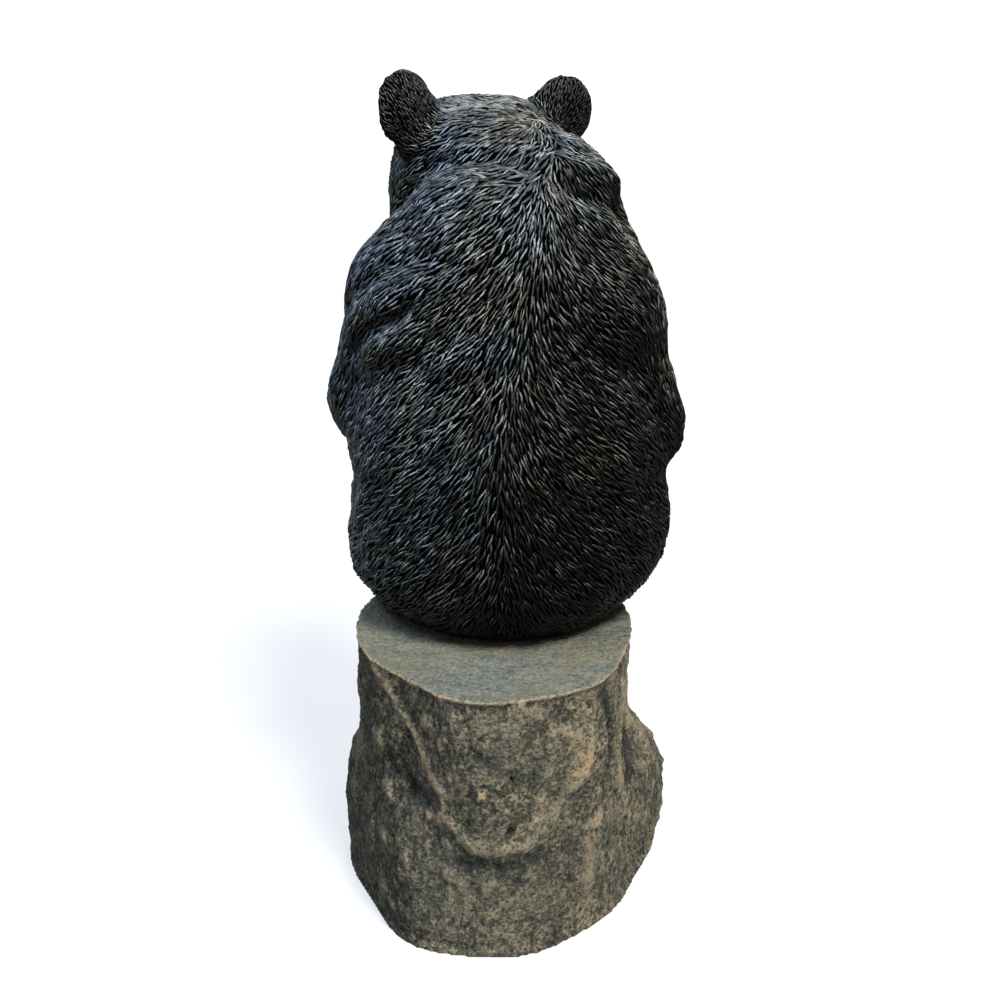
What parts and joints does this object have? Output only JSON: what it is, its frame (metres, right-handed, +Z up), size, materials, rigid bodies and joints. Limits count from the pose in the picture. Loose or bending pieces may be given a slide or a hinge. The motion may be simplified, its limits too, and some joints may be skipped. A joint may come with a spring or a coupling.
{
  "type": "bear figurine",
  "caption": "Seated black bear figurine with a carved coat, on a cast tree-stump base.",
  "frame": {"origin": "on the ground, on the flat underside of the stump, below the bear", "axes": "+Z up; the bear faces -Y and its left side is +X"},
  "size_m": [0.1923, 0.2351, 0.4448],
  "materials": {
    "black_fur": "cast resin painted black, dry-brushed grey on the fur strokes, satin",
    "grey_bark": "cast resin painted grey-green, tan dry-brushing on the ridges, matt"
  },
  "bodies": {
    "root": {"bear": "black_fur", "stump": "grey_bark"}
  },
  "joints": []
}
